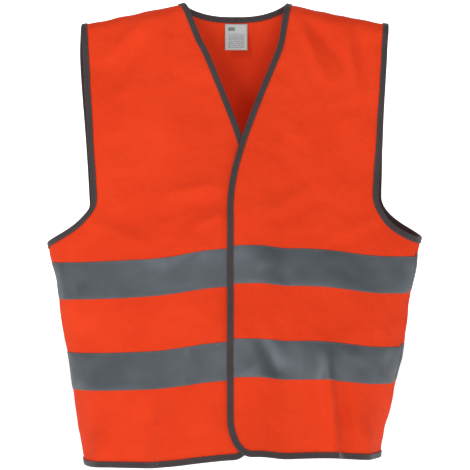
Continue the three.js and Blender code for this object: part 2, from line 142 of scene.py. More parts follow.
class VestColours(bpy.types.PropertyGroup):
    """Colours of the vest's materials"""

    shell: tint("Shell", "Fluorescent shell fabric", (0.84, 0.056, 0.012))
    shell_deep: tint("Shell, deep", "Shell fabric where the knit is denser", (0.74, 0.042, 0.008))
    tape: tint("Tape", "Reflective tape", (0.100, 0.113, 0.126))
    binding: tint("Binding", "Edge binding", (0.052, 0.040, 0.042))
    tape_thread: tint("Tape thread", "Thread along the bands", (0.16, 0.17, 0.18))
    binding_thread: tint("Binding thread", "Thread along the bindings", (0.095, 0.072, 0.074))
    hook: tint("Hook", "Hook patches", (0.045, 0.038, 0.040))
    loop: tint("Loop", "Loop patches", (0.060, 0.050, 0.053))
    label: tint("Label", "Size label", (0.50, 0.55, 0.54))
    print_ink: tint("Print", "Marks on the label", (0.16, 0.18, 0.19))


# ------------------------------------------------------------------ the hanging cloth
def smooth(value, low, high):
    share = np.clip((value - low) / (high - low), 0.0, 1.0)
    return share * share * (3.0 - 2.0 * share)


def unit(vectors):
    size = np.linalg.norm(vectors, axis=-1, keepdims=True)
    return vectors / np.maximum(size, 1e-12)


class SmoothNoise:
    """Seeded noise between -1 and 1 on a lattice that repeats far outside the vest."""

    SIZE = 64

    def __init__(self, seed):
        self.values = np.random.default_rng(seed).uniform(-1.0, 1.0, (self.SIZE,) * 3)

    def __call__(self, points):
        base = np.floor(points).astype(int)
        part = points - base
        part = part * part * (3.0 - 2.0 * part)
        total = np.zeros(points.shape[:-1])
        for corner in np.ndindex(2, 2, 2):
            weight = np.prod(np.where(np.array(corner) == 1, part, 1.0 - part), axis=-1)
            i, j, k = np.moveaxis((base + corner) % self.SIZE, -1, 0)
            total += weight * self.values[i, j, k]
        return total


# Folds that the hanging cloth shows: start x, z, end x, z, half width and height, in millimetres.
FRONT_FOLDS = (
    (-116, -6, -172, -62, 11, 4.8),
    (-128, -40, -176, -110, 14, -3.6),
    (-96, -10, -108, -92, 12, 2.7),
    (88, -14, 122, -92, 9, 3.9),
    (104, -12, 150, -74, 9, -3.3),
    (150, -16, 158, -84, 9, 3.6),
    (172, -28, 176, -96, 9, -2.7),
    (-90, -248, -16, -240, 9, 3.3),
    (-54, -296, -14, -286, 9, 3.0),
    (-70, -268, -14, -264, 8, -2.7),
    (34, -292, 96, -244, 10, 3.0),
    (56, -300, 118, -262, 10, -2.4),
    (122, -488, 128, -640, 8, 12.0),
    (142, -490, 152, -640, 12, -9.0),
    (-94, -520, -96, -640, 13, 5.4),
    (-120, -530, -126, -640, 14, -3.9),
    (-56, -452, -64, -512, 9, -3.3),
    (30, -448, 58, -500, 10, -3.0),
    (-232, -330, -222, -400, 8, 3.3),
    (-222, -320, -206, -396, 7, -3.0),
    (-200, -272, -120, -312, 11, 3.3),
    (206, -270, 130, -318, 11, 3.3),
    (182, -300, 96, -342, 12, -2.4),
    (176, -560, 182, -640, 9, 4.5),
    (-176, -560, -180, -640, 11, 4.5),
)
BACK_FOLDS = (
    (-150, -30, -168, -150, 14, 2.6),
    (150, -26, 172, -150, 14, 2.6),
    (-60, -40, -20, -240, 20, 2.0),
    (40, -30, 70, -200, 18, -2.0),
    (-200, -270, -90, -320, 13, 2.6),
    (204, -268, 84, -330, 13, 2.6),
    (-150, -470, -140, -640, 14, 4.6),
    (-70, -500, -74, -640, 15, -3.6),
    (10, -480, 4, -640, 17, 4.2),
    (92, -500, 98, -640, 14, -3.8),
    (160, -480, 166, -640, 13, 4.4),
)


def fold_height(x, z, folds):
    """Sum of soft ridges and valleys, each along one straight line that fades at its ends."""
    total = np.zeros_like(x)
    for x0, z0, x1, z1, width, height in np.array(folds, float) * MM:
        run = math.hypot(x1 - x0, z1 - z0)
        along = ((x - x0) * (x1 - x0) + (z - z0) * (z1 - z0)) / run
        across = ((x - x0) * (z1 - z0) - (z - z0) * (x1 - x0)) / run
        fade = smooth(along, -0.25 * run, 0.3 * run) * (1.0 - smooth(along, 0.7 * run, 1.25 * run))
        total += height * fade * np.exp(-((across / width) ** 2))
    return total


class Cloth:
    """The hanging cloth as one surface. A place on it is an angle round the body and a length down
    from the shoulder line; every layer of the vest takes its points from here."""

    def __init__(self, cut):
        self.cut = cut
        self.slope = cut.shoulder_drop / (cut.shoulder_half - cut.neck_half)
        self.armpit = -cut.armhole_depth
        self.hem = self.armpit - cut.body_length
        self.turn_level = self.armpit + cut.armhole_round
        self.round_angle = math.pi / 2 - cut.lean
        self.round_length = cut.shoulder_round * self.round_angle
        self.round_drop = cut.shoulder_round * (1 - math.cos(self.round_angle))
        self.yoke = -cut.shoulder_drop / 2 - cut.shoulder_round
        top = self.armpit - cut.armpit_to_tape
        low = top - cut.tape_width - cut.tape_spacing
        self.bands = {"upper": (top, top - cut.tape_width), "lower": (low, low - cut.tape_width)}
        self.noise = SmoothNoise(cut.seed)
        self.neck_line = self._neck_line()

    def _neck_line(self):
        cut = self.cut
        end = self.armpit + cut.neck_line_rise
        corners = np.array([
            (cut.neck_half, cut.shoulder_drop / 2), (cut.neck_half * 0.76, end * 0.19),
            (-cut.overlap_half * 1.2, end * 0.62), (-cut.overlap_half, end)])
        t = np.linspace(0, 1, 200)[:, None]
        weights = ((1 - t) ** 3, 3 * t * (1 - t) ** 2, 3 * t * t * (1 - t), t ** 3)
        return sum(weight * corner for weight, corner in zip(weights, corners))

    def shoulder_height(self, x):
        cut = self.cut
        reach = np.abs(x)
        share = np.minimum(reach / cut.neck_half, 1.0)
        inside = cut.shoulder_drop / 2 + 0.5 * self.slope * cut.neck_half * (1 - share * share)
        outside = cut.shoulder_drop / 2 - self.slope * (reach - cut.neck_half)
        return np.where(reach > cut.neck_half, outside, inside)

    def half_width(self, z):
        cut = self.cut
        return cut.hem_half + (cut.chest_half - cut.hem_half) * (z - self.hem) / cut.body_length

    def length_for_drop(self, drop):
        cut = self.cut
        straight = self.round_length + (drop - self.round_drop) / math.cos(cut.lean)
        curved = cut.shoulder_round * np.arccos(1 - np.clip(drop, 0.0, self.round_drop) / cut.shoulder_round)
        return np.where(drop > self.round_drop, straight, curved)

    def base(self, angle, run):
        """Points of the unwrinkled cloth; a run below zero is on the other side of the shoulder line."""
        cut = self.cut
        reach = np.abs(run)
        bend = np.minimum(reach, self.round_length) / cut.shoulder_round
        straight = np.maximum(reach - self.round_length, 0.0)
        out = np.sign(run) * (cut.shoulder_round * np.sin(bend) + straight * math.sin(cut.lean))
        down = cut.shoulder_round * (1 - np.cos(bend)) + straight * math.cos(cut.lean)
        z = -down
        for _ in range(4):
            x = self.half_width(z) * np.sin(angle)
            z = self.shoulder_height(x) - down
        return np.stack([x, -out * np.cos(angle), z], axis=-1)

    def normal(self, angle, run):
        turn, step = 1e-4, 2e-5
        across = self.base(angle + turn, run) - self.base(angle - turn, run)
        along = self.base(angle, run + step) - self.base(angle, run - step)
        return unit(np.cross(along, across))

    def girth_rate(self, angle, run):
        """Metres round the body for each radian."""
        turn = 1e-4
        step = self.base(angle + turn, run) - self.base(angle - turn, run)
        return np.linalg.norm(step, axis=-1) / (2 * turn)

    def wrinkle(self, spot):
        """How far the cloth stands out of its smooth shape at points of that shape."""
        x, y, z = np.moveaxis(spot, -1, 0)
        front = 1.0 - smooth(y, -0.012, 0.004)
        hang = smooth(-z, 0.02, 0.10)
        shift = 20.0
        broad = self.noise(spot * (9.0, 9.0, 7.0) + shift) * 4.0 * MM
        middle = self.noise(spot * (20.0, 20.0, 28.0) + 2 * shift) * 2.2 * MM
        slanted = np.stack([x + 0.6 * z, y, z - 0.5 * x], axis=-1)
        small = self.noise(slanted * (50.0, 50.0, 62.0) + shift) * 0.75 * MM
        folds = front * fold_height(x, z, FRONT_FOLDS) + (1.0 - front) * fold_height(x, z, BACK_FOLDS)
        flare = smooth(-z, 0.40, -self.hem)
        wave = np.sin(np.arctan2(x, -y) * 9.0 + 2.5 * self.noise(spot * 7.0 + shift)) * 2.4 * MM
        return hang * (broad + middle) + small + folds + flare * wave

    def overlap(self, spot):
        """1 where the left front lies over the right one, fading to 0 outside the neck points."""
        cut = self.cut
        beside = smooth(spot[..., 0], cut.closing_shift + cut.overlap_half + 0.001, cut.neck_half)
        return (1.0 - beside) * smooth(-spot[..., 2], 0.0, 0.045)

    def hang(self, spot):
        """How far the cloth hangs above its even level: high by the closing line, low at the right side."""
        x, y, z = np.moveaxis(spot, -1, 0)
        front = 1.0 - smooth(y, -0.06, 0.0)
        closing = 11.5 * MM * np.exp(-(((x - 0.05) / 0.115) ** 4)) * front
        side = -8.0 * MM * smooth(-x, 0.04, 0.23)
        return (closing + side) * smooth(-z, 0.12, 0.32)

    def at(self, angle, run, height=0.0, lifted=False):
        """Points at a height above the cloth's outer face; the left front lies lifted on the right one."""
        spot = self.base(angle, run)
        rise = height + self.wrinkle(spot)
        level = self.hang(spot)
        if lifted:
            overlap = self.overlap(spot)
            rise = rise + self.cut.over_lift * overlap
            level = level + LEFT_FRONT_RISE * overlap * smooth(-spot[..., 2], 0.12, 0.32)
        moved = spot + self.normal(angle, run) * np.asarray(rise)[..., None]
        moved[..., 2] += level
        return moved

    def as_cut(self, angle, run, height=0.0):
        """Points at a height above the cloth as it was cut: on an even level and without its folds."""
        return self.base(angle, run) + self.normal(angle, run) * np.asarray(height)[..., None]

    # -------------------------------------------------------------- places
    def at_level(self, angle, z):
        x = self.half_width(z) * np.sin(angle)
        return self.length_for_drop(self.shoulder_height(x) - z)

    def neck_x(self, z):
        line = self.neck_line[::-1]
        return np.interp(z, line[:, 1], line[:, 0])

    def corner(self, z):
        cut = self.cut
        share = np.clip((self.hem + cut.corner_height - z) / cut.corner_height, 0.0, 1.0)
        return cut.corner_width * (1 - np.sqrt(1 - share * share))

    def closing_x(self, z):
        cut = self.cut
        return cut.closing_shift * smooth(cut.shoulder_drop / 2 - z, 0.0, cut.shift_depth)

    def edge_x(self, z, side):
        return self.closing_x(z) + side * (self.neck_x(z) + self.corner(z))

    def edge_angle(self, z, side):
        return np.arcsin(self.edge_x(z, side) / self.half_width(z))

    def outer_turn(self, z, side, back):
        """Angle from the middle of the front or back to its armhole edge or side seam."""
        cut = self.cut
        narrow = cut.back_arm_half if back else cut.front_arm_half
        seam = math.pi / 2 + side * (1 if back else -1) * cut.seam_turn
        tip = self.shoulder_height(np.array(cut.shoulder_half))
        share = np.clip((tip - z) / (tip - self.turn_level), 0.0, 1.0)
        reach = cut.shoulder_half + (narrow - cut.shoulder_half) * share
        if back and side == RIGHT:
            reach = reach + RIGHT_BACK_SWELL * np.sin(math.pi * share ** 0.45) ** 2
        upper = np.arcsin(reach / self.half_width(np.maximum(z, self.turn_level)))
        start = math.asin(narrow / self.half_width(self.turn_level))
        low = np.clip((self.turn_level - z) / cut.armhole_round, 0.0, 1.0)
        lower = start + (seam - start) * (1 - np.sqrt(1 - low * low))
        return np.where(z >= self.turn_level, upper, lower)

    def seam_angle(self, side):
        return side * math.pi / 2 - self.cut.seam_turn

    def back_neck_z(self, x):
        share = np.minimum(np.abs(x) / self.cut.neck_half, 1.0)
        return self.cut.shoulder_drop / 2 - self.cut.back_neck_depth * (1 - share ** 2.6)


_cloths = {}


def cloth():
    cut = bpy.context.scene.vest_cut
    if "vest" not in _cloths:
        _cloths["vest"] = Cloth(cut)
    return _cloths["vest"]


# ------------------------------------------------------------------ rows, columns and paths of places
def row_levels(shape, step):
    """Heights of a panel's rows below the yoke; the armhole's and the corner's rows crowd at their ends."""
    cut = shape.cut
    yoke = np.linspace(shape.yoke, shape.turn_level, int((shape.yoke - shape.turn_level) / step) + 1)[:-1]
    armhole = shape.turn_level - cut.armhole_round * np.sin(np.linspace(0, math.pi / 2, 24))
    corner_top = shape.hem + cut.corner_height
    side = np.linspace(shape.armpit, corner_top, int((shape.armpit - corner_top) / step))[1:-1]
    corner = corner_top - cut.corner_height * np.sin(np.linspace(0, math.pi / 2, 18))
    return np.concatenate([yoke, armhole, side, corner])


def with_shoulder(top, rows, step):
    """Adds the rows over the rounded shoulder above a panel's first row."""
    angle, run = rows
    count = int(np.max(np.abs(run[0])) / step) + 2
    share = np.linspace(0, 1, count)[:-1, None]
    upper = [start + (below[0] - start) * share for start, below in zip(top, (angle, run))]
    return np.concatenate([upper[0], angle]), np.concatenate([upper[1], run])


def front_places(shape, side, levels, columns):
    z = levels[:, None]
    inner = shape.edge_angle(z, side)
    outer = side * shape.outer_turn(z, side, False)
    angle = inner + (outer - inner) * np.linspace(0, 1, columns)
    return angle, shape.at_level(angle, z)


def back_shares(shape, columns):
    cut = shape.cut
    neck = cut.neck_half / cut.shoulder_half
    inner = neck * (1 - (1 - np.linspace(0, 1, columns // 4)[:-1]) ** 1.8)
    outer = neck + (1 - neck) * np.linspace(0, 1, columns // 3)
    half = np.concatenate([inner, outer])
    return np.concatenate([-half[:0:-1], half])


def back_places(shape, levels, shares):
    z = levels[:, None]
    left = shape.outer_turn(z, LEFT, True)
    right = shape.outer_turn(z, RIGHT, True)
    angle = BACK - np.where(shares > 0, shares * left, shares * right)
    return angle, shape.at_level(angle, z)


def shoulder_angle(shape, x):
    return np.arcsin(x / shape.half_width(shape.shoulder_height(x)))


def front_panel_places(shape, side, step):
    columns = int(1.25 * shape.cut.chest_half / step)
    rows = front_places(shape, side, row_levels(shape, step), columns)
    x = side * np.linspace(shape.cut.neck_half, shape.cut.shoulder_half, columns)
    angle = shoulder_angle(shape, x)
    return with_shoulder((angle, np.zeros_like(angle)), rows, step)


def back_panel_places(shape, step):
    shares = back_shares(shape, int(3.2 * shape.cut.chest_half / step))
    rows = back_places(shape, row_levels(shape, step), shares)
    x = shares * shape.cut.shoulder_half
    neck = np.abs(x) < shape.cut.neck_half
    z = np.where(neck, shape.back_neck_z(x), shape.shoulder_height(x))
    angle = BACK - np.arcsin(x / shape.half_width(z))
    return with_shoulder((angle, shape.at_level(angle, z)), rows, step)


def resampled(shape, places, step):
    """The same path with its places at even steps."""
    angle, run = (np.asarray(part, float) for part in places)
    spots = shape.base(angle, run)
    along = np.concatenate([[0.0], np.cumsum(np.linalg.norm(np.diff(spots, axis=0), axis=1))])
    even = np.linspace(0.0, along[-1], max(int(along[-1] / step), 2) + 1)
    return np.interp(even, along, angle), np.interp(even, along, run)


def joined(*paths):
    """One path from several that meet end to end."""
    angle = np.concatenate([paths[0][0]] + [path[0][1:] for path in paths[1:]])
    run = np.concatenate([paths[0][1]] + [path[1][1:] for path in paths[1:]])
    return angle, run


def reversed_path(path):
    return path[0][::-1], path[1][::-1]


def yoke_to_shoulder(places, tip_angle, count=16):
    """Straight path on the shoulder, from the shoulder line down to a place at the yoke."""
    share = np.linspace(0, 1, count)
    return tip_angle + (places[0][0] - tip_angle) * share, places[1][0] * share


def front_edge_path(shape, side, split, step):
    """From the neck point down the front edge, round the corner and along the hem to the split."""
    z = row_levels(shape, step)
    angle = shape.edge_angle(z, side)
    edge = (angle, shape.at_level(angle, z))
    neck = shoulder_angle(shape, np.array(side * shape.cut.neck_half))
    x = np.linspace(shape.edge_x(z[-1], side), split, 30)
    hem_angle = np.arcsin(x / shape.half_width(shape.hem))
    hem = (hem_angle, shape.at_level(hem_angle, shape.hem))
    return resampled(shape, joined(yoke_to_shoulder(edge, neck), edge, hem), step)


def armhole_path(shape, side, step):
    """Down the front of the armhole and up its back, ending where it began."""
    z = row_levels(shape, step)
    z = z[z >= shape.armpit]
    tip = shoulder_angle(shape, np.array(side * shape.cut.shoulder_half))
    halves = []
    for back in (False, True):
        turn = side * shape.outer_turn(z, side, back)
        run = shape.at_level(turn, z)
        half = joined(yoke_to_shoulder((turn, run), tip), (turn, run))
        halves.append(resampled(shape, half, step))
    front, behind = halves
    up = reversed_path((BACK - behind[0], behind[1]))
    return np.concatenate([front[0], up[0][1:-1]]), np.concatenate([front[1], up[1][1:-1]])


def back_neck_path(shape, step):
    x = shape.cut.neck_half * np.sin(np.linspace(-math.pi / 2, math.pi / 2, 120))
    angle = BACK - np.arcsin(x / shape.half_width(shape.back_neck_z(x)))
    run = shape.at_level(angle, shape.back_neck_z(x))
    run[0] = run[-1] = 0.0
    return resampled(shape, (angle, run), step)


def hem_path(shape, splits, step):
    """Round the back, from the split in the right front to the one in the left front."""
    right, left = (math.asin(splits[side] / shape.half_width(shape.hem)) for side in (RIGHT, LEFT))
    angle = np.linspace(right, left - 2 * math.pi, 700)
    return resampled(shape, (angle, shape.at_level(angle, shape.hem)), step)


# ------------------------------------------------------------------ meshes
def new_piece(name, points, faces, materials, uv=None):
    """A smooth-shaded mesh object at the origin; uv holds one pair of metres for each point."""
    mesh = bpy.data.meshes.new(name)
    mesh.from_pydata(np.asarray(points).tolist(), [], [list(face) for face in faces])
    mesh.validate()
    if uv is not None:
        layer = mesh.uv_layers.new(name=WEAVE)
        corners = np.empty(len(mesh.loops), dtype=np.int32)
        mesh.loops.foreach_get("vertex_index", corners)
        layer.data.foreach_set("uv", np.asarray(uv, np.float32)[corners].ravel())
    mesh.shade_smooth()
    mesh.materials.append(materials)
    piece = bpy.data.objects.new(name, mesh)
    bpy.context.collection.objects.link(piece)
    return piece


def grid_faces(rows, columns, offset=0):
    index = np.arange(rows * columns).reshape(rows, columns) + offset
    return np.stack([index[:-1, :-1], index[1:, :-1], index[1:, 1:], index[:-1, 1:]], axis=-1).reshape(-1, 4)


def closed_faces(rows, columns):
    """Quads of an upper and a lower grid of the same size and of the rim between them."""
    size = rows * columns
    index = np.arange(size).reshape(rows, columns)
    loop = np.concatenate([index[0, :-1], index[:-1, -1], index[-1, :0:-1], index[:0:-1, 0]])
    after = np.roll(loop, -1)
    rim = np.stack([loop, after, after + size, loop + size], axis=-1)
    return np.concatenate([grid_faces(rows, columns), grid_faces(rows, columns, size)[:, ::-1], rim])


def sheet_uv(points):
    """Metres along and down the cloth, measured from the middle column."""
    steps = np.linalg.norm(np.diff(points, axis=1), axis=-1)
    across = np.concatenate([np.zeros((len(points), 1)), np.cumsum(steps, axis=1)], axis=1)
    across -= across[:, [points.shape[1] // 2]]
    down = np.broadcast_to(points[:, :, 2], across.shape)
    return np.stack([across, down], axis=-1)


def flat_cut(points):
    """Width and length of a grid of points laid out flat, and its area."""
    across = np.linalg.norm(np.diff(points, axis=1), axis=-1).sum(axis=1).max()
    down = np.linalg.norm(np.diff(points, axis=0), axis=-1).sum(axis=0).max()
    falling, rising = points[1:, 1:] - points[:-1, :-1], points[1:, :-1] - points[:-1, 1:]
    area = 0.5 * np.linalg.norm(np.cross(falling, rising), axis=-1).sum()
    return {"flat": (float(across), float(down)), "area": float(area)}


def slab(name, top, bottom, out, material):
    """A closed sheet between two grids of points; out is the direction that the top faces."""
    rows, columns = top.shape[:2]
    faces = closed_faces(rows, columns)
    a, b, c = (top.reshape(-1, 3)[faces[0][k]] for k in range(3))
    if np.dot(np.cross(b - a, c - a), out) < 0:
        faces = faces[:, ::-1]
    points = np.concatenate([top.reshape(-1, 3), bottom.reshape(-1, 3)])
    uv = sheet_uv(top).reshape(-1, 2)
    return new_piece(name, points, faces, material, np.concatenate([uv, uv]))


def layer(name, shape, places, low, high, material, lifted=False):
    """A closed sheet between two heights above the cloth, over a grid of places, and its flat cut."""
    angle, run = places
    top = shape.at(angle, run, high, lifted)
    out = shape.normal(angle[:1, :1], run[:1, :1])[0, 0]
    bottom = shape.at(angle, run, low, lifted)
    return slab(name, top, bottom, out, material), flat_cut(shape.as_cut(angle, run, high))


def moved_places(shape, angle, run, shift):
    """Places a given distance away from others, measured on the cloth."""
    target = shape.base(angle, run) + shift
    step = 1e-5
    angle, run = angle.copy(), run.copy()
    for _ in range(3):
        here = shape.base(angle, run)
        across = (shape.base(angle + step, run) - here) / step
        along = (shape.base(angle, run + step) - here) / step
        rest = target - here
        aa, al, ll = ((p * q).sum(-1) for p, q in ((across, across), (across, along), (along, along)))
        ra, rl = (rest * across).sum(-1), (rest * along).sum(-1)
        scale = aa * ll - al * al
        angle += (ra * ll - rl * al) / scale
        run += (rl * aa - ra * al) / scale
    return angle, run


# The folded binding's section, round its outer face and back along its inner one: how far in from the
# cloth's edge each point lies, as a share of the width, its reach past that edge and its height in mm.
BINDING_OUTER = (
    (1.0, 0.0, 1.22), (0.97, 0.0, 1.42), (0.72, 0.0, 1.32), (0.4, 0.0, 1.56), (0.1, 0.0, 1.66),
    (0.0, 0.45, 1.42), (0.0, 0.9, 0.95), (0.0, 1.15, 0.25), (0.0, 1.15, -0.75),
    (0.0, 0.9, -1.45), (0.0, 0.45, -1.95), (0.1, 0.0, -2.15), (0.4, 0.0, -2.1), (0.72, 0.0, -1.9),
    (0.97, 0.0, -2.0), (1.0, 0.0, -1.8),
)
BINDING_INNER = (
    (1.0, 0.0, -1.35), (0.72, 0.0, -1.38), (0.4, 0.0, -1.5), (0.1, 0.0, -1.55), (0.0, 0.4, -1.1),
    (0.0, 0.65, -0.3), (0.0, 0.4, 0.6), (0.1, 0.0, 1.1), (0.4, 0.0, 1.02), (0.72, 0.0, 0.86), (1.0, 0.0, 0.84),
)
BINDING_SEAMS = ((0.78, 0.0, 1.4), (0.78, 0.0, -2.0))  # its stitches on the outer and the inner face


class Edge:
    """A path along an edge of the cloth, with the place a binding's width in and the way out of the cloth.
    Turn is 1 where the cloth lies to the right of someone walking the path on its outer face."""

    def __init__(self, shape, path, turn, closed=False, lifted=False):
        self.shape, self.path, self.closed, self.lifted = shape, path, closed, lifted
        angle, run = path
        spots = shape.base(angle, run)
        if closed:
            along = np.roll(spots, -1, axis=0) - np.roll(spots, 1, axis=0)
        else:
            along = np.gradient(spots, axis=0)
        self.out = turn * unit(np.cross(unit(along), shape.normal(angle, run)))
        self.inner = moved_places(shape, angle, run, -self.out * shape.cut.binding_width)

    def sweep(self, section):
        """One row of points for each place, with a point for each (share, reach, height)."""
        columns = []
        for share, reach, height in section:
            angle, run = (edge + (inner - edge) * share for edge, inner in zip(self.path, self.inner))
            spot = self.shape.at(angle, run, height * MM, self.lifted)
            columns.append(spot + self.out * reach * MM)
        return np.stack(columns, axis=1)


def end_caps(size, last):
    """Faces that close the two ends of a binding, between its outer and its inner line."""
    outer, inner = len(BINDING_OUTER), len(BINDING_INNER)
    across = [size - 1 - round(i * (inner - 1) / (outer - 1)) for i in range(outer)]
    caps = []
    for i in range(outer - 1):
        near, after = across[i], across[i + 1]
        face = [i, i + 1, after] + ([near] if after != near else [])
        caps += [face, [k + last for k in reversed(face)]]
    return caps


def binding(name, edge, material):
    """A tape folded over an edge of the cloth, and its flat cut."""
    points = edge.sweep(BINDING_OUTER + BINDING_INNER)
    count, size = points.shape[:2]
    index = np.arange(count * size).reshape(count, size)
    rows = np.concatenate([index, index[:1]]) if edge.closed else index
    around = np.concatenate([rows, rows[:, :1]], axis=1)
    corners = [around[:-1, :-1], around[1:, :-1], around[1:, 1:], around[:-1, 1:]]
    quads = np.stack(corners, axis=-1).reshape(-1, 4)
    faces = quads.tolist()
    if not edge.closed:
        faces += end_caps(size, (count - 1) * size)
    a, b, c = points[0, 2], points[1, 2], points[0, 3]
    if np.dot(np.cross(b - a, c - a), edge.shape.normal(edge.path[0][:1], edge.path[1][:1])[0]) < 0:
        faces = [face[::-1] for face in faces]
    rim = len(BINDING_OUTER) // 2
    along = np.concatenate([[0.0], np.cumsum(np.linalg.norm(np.diff(points[:, rim], axis=0), axis=1))])
    girth = np.concatenate([[0.0], np.cumsum(np.linalg.norm(np.diff(points[0], axis=0), axis=1))])
    uv = np.stack(np.broadcast_arrays(along[:, None], girth[None, :]), axis=-1).reshape(-1, 2)
    cut = {"flat": (float(girth[len(BINDING_OUTER) - 1]), float(along[-1]))}
    return new_piece(name, points.reshape(-1, 3), faces, material, uv), cut


# ------------------------------------------------------------------ threads, hooks and loops
def node(tree, kind, inputs=None, **settings):
    """A new node; each input takes a value or the socket that feeds it."""
    item = tree.nodes.new(kind)
    for key, value in settings.items():
        setattr(item, key, value)
    for key, value in (inputs or {}).items():
        if isinstance(value, bpy.types.NodeSocket):
            tree.links.new(value, item.inputs[key])
        else:
            item.inputs[key].default_value = value
    return item


def new_geometry_tree(name, sizes):
    """A geometry tree with its group input; sizes gives each length input's default."""
    tree = bpy.data.node_groups.new(name, "GeometryNodeTree")
    tree.interface.new_socket("Geometry", in_out="INPUT", socket_type="NodeSocketGeometry")
    tree.interface.new_socket("Geometry", in_out="OUTPUT", socket_type="NodeSocketGeometry")
    for label, default in sizes.items():
        socket = tree.interface.new_socket(label, in_out="INPUT", socket_type="NodeSocketFloat")
        socket.default_value = default
    tree.interface.new_socket("Material", in_out="INPUT", socket_type="NodeSocketMaterial")
    return tree, node(tree, "NodeGroupInput").outputs


def end_tree(tree, geometry, given):
    real = node(tree, "GeometryNodeRealizeInstances", {0: geometry})
    smooth_faces = node(tree, "GeometryNodeSetShadeSmooth", {0: real.outputs[0]})
    painted = node(tree, "GeometryNodeSetMaterial", {0: smooth_faces.outputs[0], "Material": given["Material"]})
    node(tree, "NodeGroupOutput", {0: painted.outputs[0]})
    return tree


def aligned_instances(tree, points, instance, axis, vector, start=None):
    """Instances on points, with one of their axes along a vector."""
    inputs = {"Vector": vector}
    if start is not None:
        inputs["Rotation"] = start
    turn = node(tree, "FunctionNodeAlignRotationToVector", inputs, axis=axis)
    return node(tree, "GeometryNodeInstanceOnPoints",
                {"Points": points, "Instance": instance, "Rotation": turn.outputs[0]}).outputs[0]


def stitch_tree():
    """Short rounded stitches at an even pitch along the edges of a mesh."""
    tree, given = new_geometry_tree(
        "Stitches", {"Pitch": 3.2 * MM, "Stitch": 1.2 * MM, "Thread radius": 0.26 * MM})
    line = node(tree, "GeometryNodeMeshToCurve", {0: given["Geometry"]})
    spacing = {0: line.outputs[0], "Length": given["Pitch"]}
    points = node(tree, "GeometryNodeResampleCurve", spacing, mode="LENGTH")
    bead = node(tree, "GeometryNodeMeshUVSphere", {"Segments": 6, "Rings": 4, "Radius": 1.0})
    size = node(tree, "ShaderNodeCombineXYZ",
                {"X": given["Stitch"], "Y": given["Thread radius"], "Z": given["Thread radius"]})
    stitch = node(tree, "GeometryNodeTransform", {0: bead.outputs[0], "Scale": size.outputs[0]})
    tangent = node(tree, "GeometryNodeInputTangent")
    sewn = aligned_instances(tree, points.outputs[0], stitch.outputs[0], "X", tangent.outputs[0])
    return end_tree(tree, sewn, given)


def thread_tree():
    """A continuous thread along the edges of a mesh."""
    tree, given = new_geometry_tree("Thread", {"Thread radius": 0.2 * MM})
    line = node(tree, "GeometryNodeMeshToCurve", {0: given["Geometry"]})
    ring = node(tree, "GeometryNodeCurvePrimitiveCircle", {"Resolution": 5, "Radius": given["Thread radius"]})
    tube = node(tree, "GeometryNodeCurveToMesh",
                {"Curve": line.outputs[0], "Profile Curve": ring.outputs[0], "Fill Caps": True})
    return end_tree(tree, tube.outputs[0], given)


def pile_tree(name, arc, height):
    """Bent bristles on the faces of a mesh: hooks stop short, loops come back down to the base."""
    tree, given = new_geometry_tree(name, {"Height": height, "Thread radius": 0.11 * MM})
    spine = node(tree, "GeometryNodeCurveArc",
                 {"Resolution": 7, "Radius": given["Height"], "Start Angle": 0.0, "Sweep Angle": arc})
    upright = node(tree, "GeometryNodeTransform", {0: spine.outputs[0], "Rotation": (math.pi / 2, 0.0, 0.0)})
    ring = node(tree, "GeometryNodeCurvePrimitiveCircle", {"Resolution": 4, "Radius": given["Thread radius"]})
    bristle = node(tree, "GeometryNodeCurveToMesh",
                   {"Curve": upright.outputs[0], "Profile Curve": ring.outputs[0], "Fill Caps": True})
    points = node(tree, "GeometryNodeMeshToPoints", {0: given["Geometry"]})
    normal = node(tree, "GeometryNodeInputNamedAttribute", {"Name": "facing"}, data_type="FLOAT_VECTOR")
    spin = node(tree, "FunctionNodeRandomValue", {"Max": (0.0, 0.0, 2 * math.pi), "Seed": 3},
                data_type="FLOAT_VECTOR")
    pile = aligned_instances(
        tree, points.outputs[0], bristle.outputs[0], "Z", normal.outputs[0], spin.outputs[0])
    return end_tree(tree, pile, given)


def grown(name, points, edges, tree, material, facing=None, **sizes):
    """Runs a geometry tree on loose points and edges and keeps its result as a plain mesh."""
    mesh = bpy.data.meshes.new(name)
    mesh.from_pydata(np.asarray(points).tolist(), edges, [])
    if facing is not None:
        mesh.attributes.new("facing", "FLOAT_VECTOR", "POINT").data.foreach_set("vector", facing.ravel())
    piece = bpy.data.objects.new(name, mesh)
    bpy.context.collection.objects.link(piece)
    modifier = piece.modifiers.new("Grow", "NODES")
    modifier.node_group = tree
    values = {"Material": material, **{key.replace("_", " ").capitalize(): size for key, size in sizes.items()}}
    for socket in tree.interface.items_tree:
        if socket.in_out == "INPUT" and socket.name in values:
            modifier[socket.identifier] = values[socket.name]
    bpy.context.view_layer.update()
    evaluated = piece.evaluated_get(bpy.context.evaluated_depsgraph_get())
    plain = bpy.data.meshes.new_from_object(evaluated)
    piece.modifiers.clear()
    piece.data = plain
    plain.name = name
    bpy.data.meshes.remove(mesh)
    if not plain.polygons:
        raise RuntimeError(f"{name} came out empty")
    return piece


def polylines(lines):
    """Points and edges of several lines of points; each line is (points, closed)."""
    points, edges, start = [], [], 0
    for line, closed in lines:
        count = len(line)
        points.append(line)
        edges += [(start + i, start + i + 1) for i in range(count - 1)]
        if closed:
            edges.append((start + count - 1, start))
        start += count
    return np.concatenate(points), edges


def sewn(name, lines, material, **sizes):
    tree = bpy.data.node_groups.get("Stitches") or stitch_tree()
    return grown(name, *polylines(lines), tree, material, **sizes)


# ------------------------------------------------------------------ finishes
def palette():
    return bpy.context.scene.vest_colours


def opaque(colour):
    return (*colour, 1.0)


